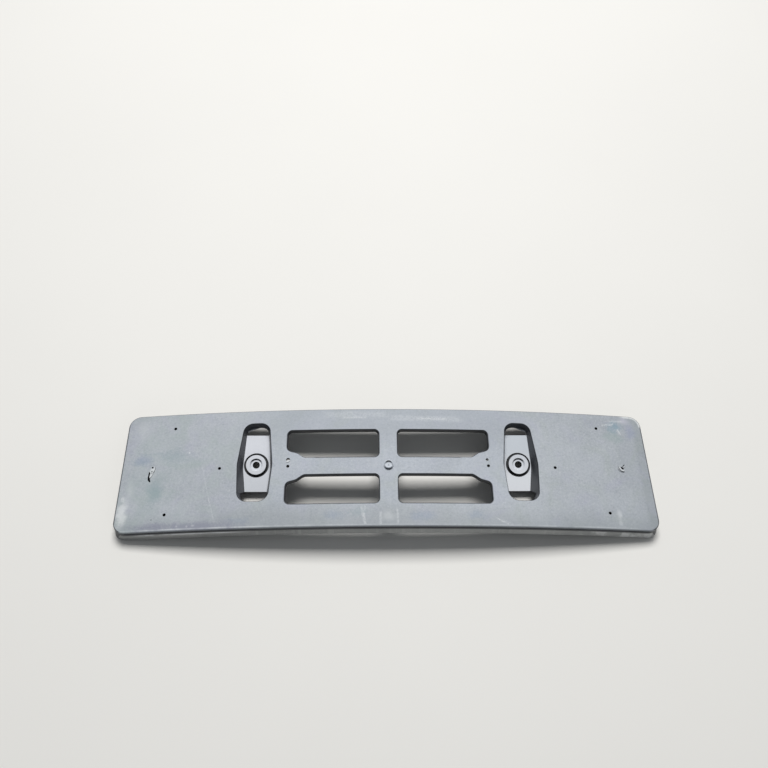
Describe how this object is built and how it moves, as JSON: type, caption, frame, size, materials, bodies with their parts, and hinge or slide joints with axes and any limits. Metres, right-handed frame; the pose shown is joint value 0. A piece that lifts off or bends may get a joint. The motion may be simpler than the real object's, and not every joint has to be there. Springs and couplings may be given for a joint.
{
  "type": "number plate holder",
  "caption": "Bowed rectangular plastic holder with a flared skirt, open windows and recessed screw bosses, for fixing a number plate to a car bumper.",
  "frame": {"origin": "middle of the holder, on the plane it rests on when it lies on its back", "axes": "+X along the length, +Y towards the top edge of the number plate, +Z out of the front face"},
  "size_m": [0.5238, 0.1264, 0.0356],
  "materials": {
    "holder_plastic": "weathered grey, fine grain"
  },
  "bodies": {
    "root": {"number_plate_holder": "holder_plastic"}
  },
  "joints": []
}
